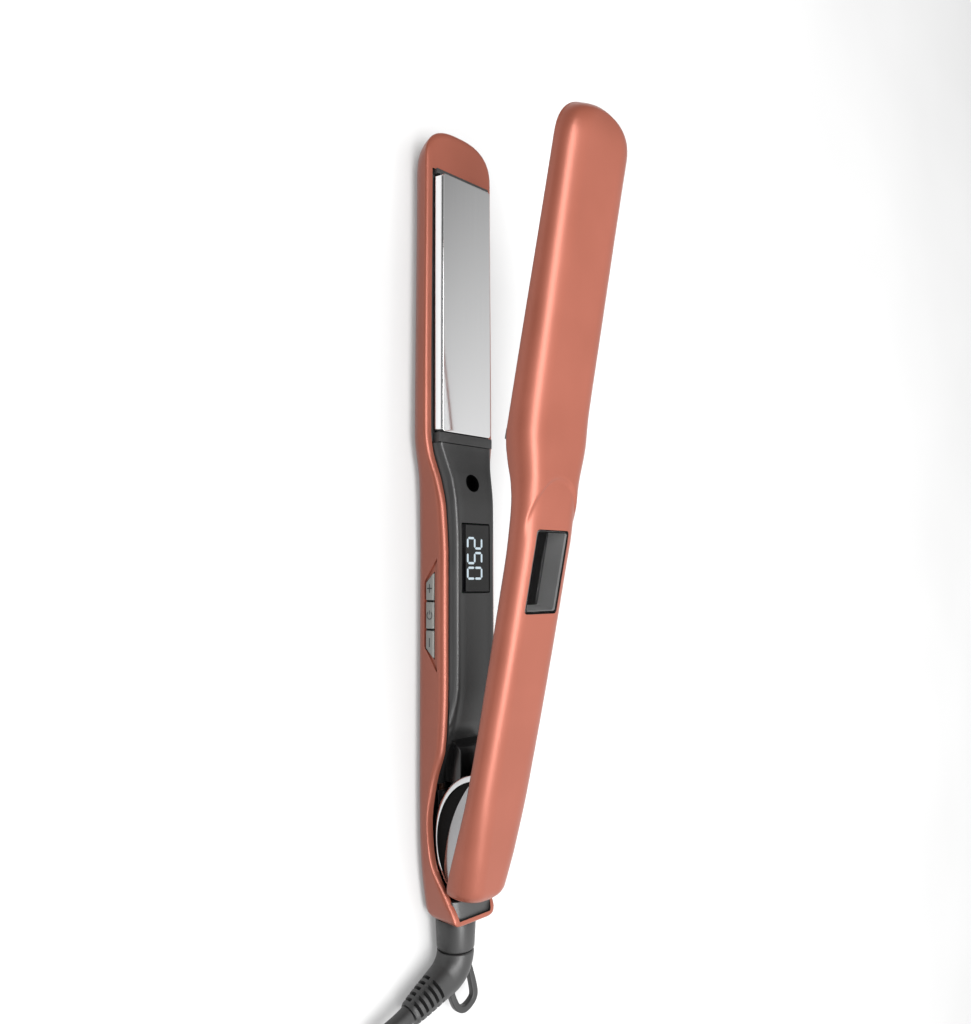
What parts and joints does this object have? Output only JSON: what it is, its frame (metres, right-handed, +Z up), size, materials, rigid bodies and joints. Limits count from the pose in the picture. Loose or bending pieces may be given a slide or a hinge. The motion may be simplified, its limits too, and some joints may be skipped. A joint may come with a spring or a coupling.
{
  "type": "flat iron",
  "caption": "Slim hair-straightening iron lying open: two hinged arms with floating heater plates, side keys, a digital display and a swivel cord wound into a hank.",
  "frame": {"origin": "on the table, on the flat bottom of the lower arm straight below the hinge pin", "axes": "+X from the hinge to the tips, +Y to the side with the keys, +Z up out of the flat bottom"},
  "size_m": [0.4744, 0.0667, 0.0765],
  "materials": {
    "copper_paint": "satin metallic copper lacquer",
    "charcoal_plastic": "satin charcoal, fine grain",
    "gloss_window": "glossy smoked black",
    "polished_plate": "polished, mirror-like",
    "chrome_trim": "bright chrome",
    "steel": "plain steel",
    "brass": "satin",
    "ceramic": "unglazed ceramic",
    "silicone": "moulded silicone",
    "button_plastic": "satin warm grey with pale marks",
    "electronics": "circuit board and black housings",
    "soft_rubber": "matte moulded rubber",
    "cord_rubber": "satin cord jacket"
  },
  "bodies": {
    "lower_arm": {"lower_shell": "copper_paint", "lower_inner_cover": "charcoal_plastic", "display_window": "gloss_window", "display_module": "electronics", "control_board": "electronics", "tail_insert": "charcoal_plastic", "switch_plus": "electronics", "switch_power": "electronics", "switch_minus": "electronics", "lower_plate_frame": "charcoal_plastic", "lower_cushion_rear": "silicone", "lower_cushion_front": "silicone", "lower_heater_lead": "cord_rubber", "mains_wire_left": "cord_rubber", "mains_wire_right": "cord_rubber", "hinge_pin": "steel", "hinge_bush_left": "brass", "hinge_bush_right": "brass", "hinge_spring": "steel", "lower_hinge_bracket": "steel", "lower_screw_rear": "steel", "lower_screw_front": "steel", "cord_lead": "cord_rubber", "cord_hank": "cord_rubber", "cord_end": "cord_rubber", "cord_tie": "soft_rubber", "plug_body": "soft_rubber", "plug_pin_left": "brass", "plug_pin_right": "brass"},
    "upper_arm": {"upper_shell": "copper_paint", "upper_window": "gloss_window", "upper_inner_cover": "charcoal_plastic", "upper_plate_frame": "charcoal_plastic", "upper_cushion_rear": "silicone", "upper_cushion_front": "silicone", "upper_heater_lead": "cord_rubber", "upper_hinge_bracket": "steel", "upper_screw_rear": "steel", "upper_screw_front": "steel", "hinge_cheek_left": "chrome_trim", "hinge_cheek_right": "chrome_trim"},
    "lower_plate": {"lower_heater_plate": "polished_plate", "lower_heater": "ceramic", "lower_thermistor": "ceramic", "lower_thermal_fuse": "ceramic"},
    "upper_plate": {"upper_heater_plate": "polished_plate", "upper_heater": "ceramic", "upper_thermistor": "ceramic", "upper_thermal_fuse": "ceramic"},
    "button_plus": {"button_plus": "button_plastic"},
    "button_power": {"button_power": "button_plastic"},
    "button_minus": {"button_minus": "button_plastic"},
    "swivel": {"swivel_barrel": "soft_rubber", "swivel_retaining_ring": "steel", "strain_relief": "soft_rubber", "hanging_loop": "soft_rubber"}
  },
  "joints": [
    {"name": "arm_hinge", "type": "hinge", "parent": "lower_arm", "child": "upper_arm", "pos_m": [0, 0, 0.0165], "axis": [0, 1, 0], "range_deg": [0, 12.8], "stiffness_Nm_per_rad": 0.5, "springref_deg": -40.11},
    {"name": "lower_plate_float", "type": "slide", "parent": "lower_arm", "child": "lower_plate", "axis": [0, 0, -1], "range_m": [0, 0.0008], "stiffness_N_per_m": 3000, "springref_m": -0.0005},
    {"name": "upper_plate_float", "type": "slide", "parent": "upper_arm", "child": "upper_plate", "axis": [-0.2215, 0, 0.9751], "range_m": [0, 0.0008], "stiffness_N_per_m": 3000, "springref_m": -0.0005},
    {"name": "button_plus_press", "type": "slide", "parent": "lower_arm", "child": "button_plus", "axis": [0, -1, 0], "range_m": [0, 0.0004], "stiffness_N_per_m": 1500, "springref_m": -0.0004},
    {"name": "button_power_press", "type": "slide", "parent": "lower_arm", "child": "button_power", "axis": [0, -1, 0], "range_m": [0, 0.0004], "stiffness_N_per_m": 1500, "springref_m": -0.0004},
    {"name": "button_minus_press", "type": "slide", "parent": "lower_arm", "child": "button_minus", "axis": [0, -1, 0], "range_m": [0, 0.0004], "stiffness_N_per_m": 1500, "springref_m": -0.0004},
    {"name": "cord_swivel", "type": "hinge", "parent": "lower_arm", "child": "swivel", "pos_m": [-0.0305, 0, 0.0073], "axis": [1, 0, 0], "continuous": true}
  ]
}
